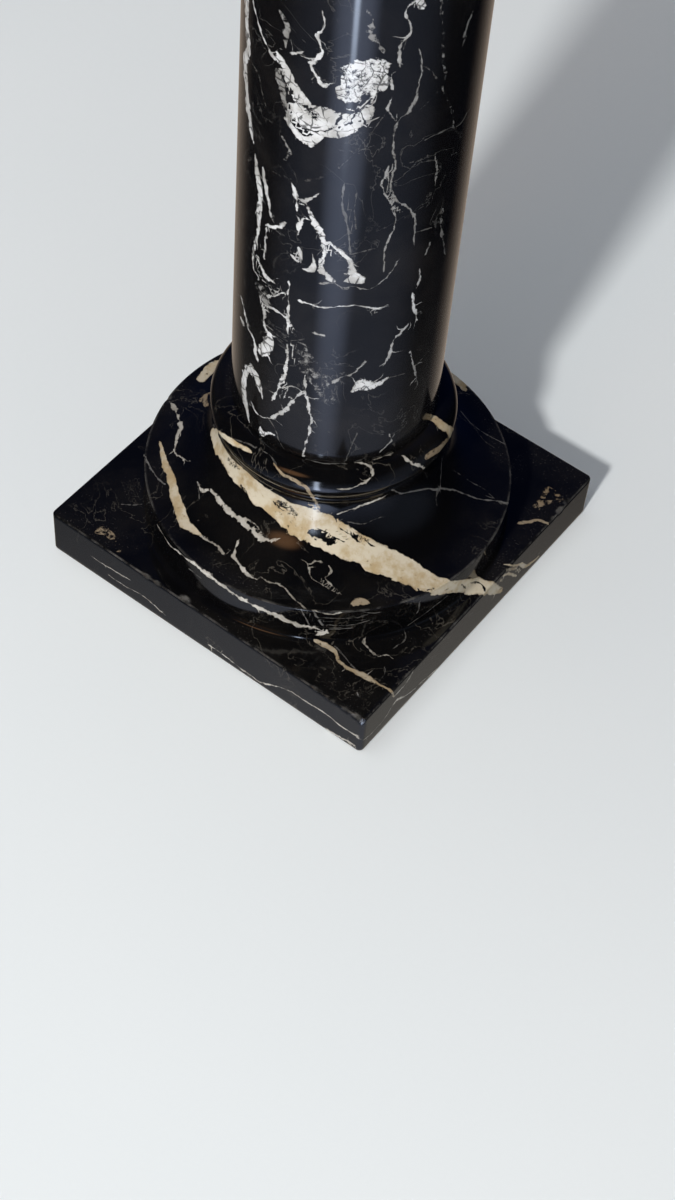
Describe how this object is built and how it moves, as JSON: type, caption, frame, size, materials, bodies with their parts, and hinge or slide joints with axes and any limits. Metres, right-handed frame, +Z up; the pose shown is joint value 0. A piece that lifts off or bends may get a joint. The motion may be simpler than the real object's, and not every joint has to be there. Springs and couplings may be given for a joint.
{
  "type": "marble column",
  "caption": "Free-standing display column of polished black veined marble, with a square plinth, moulded round base, plain round shaft and plain square-topped capital.",
  "frame": {"origin": "centre of the plinth's underside, on the surface the column stands on", "axes": "+Z up along the shaft's axis, X and Y parallel to the sides of the square plinth"},
  "size_m": [0.3, 0.3, 1.04],
  "materials": {
    "base_marble": "polished, with cream and gold veins",
    "shaft_marble": "polished, with white veins",
    "capital_marble": "polished, with white and cream veins"
  },
  "bodies": {
    "root": {"base": "base_marble", "shaft": "shaft_marble", "capital": "capital_marble"}
  },
  "joints": []
}
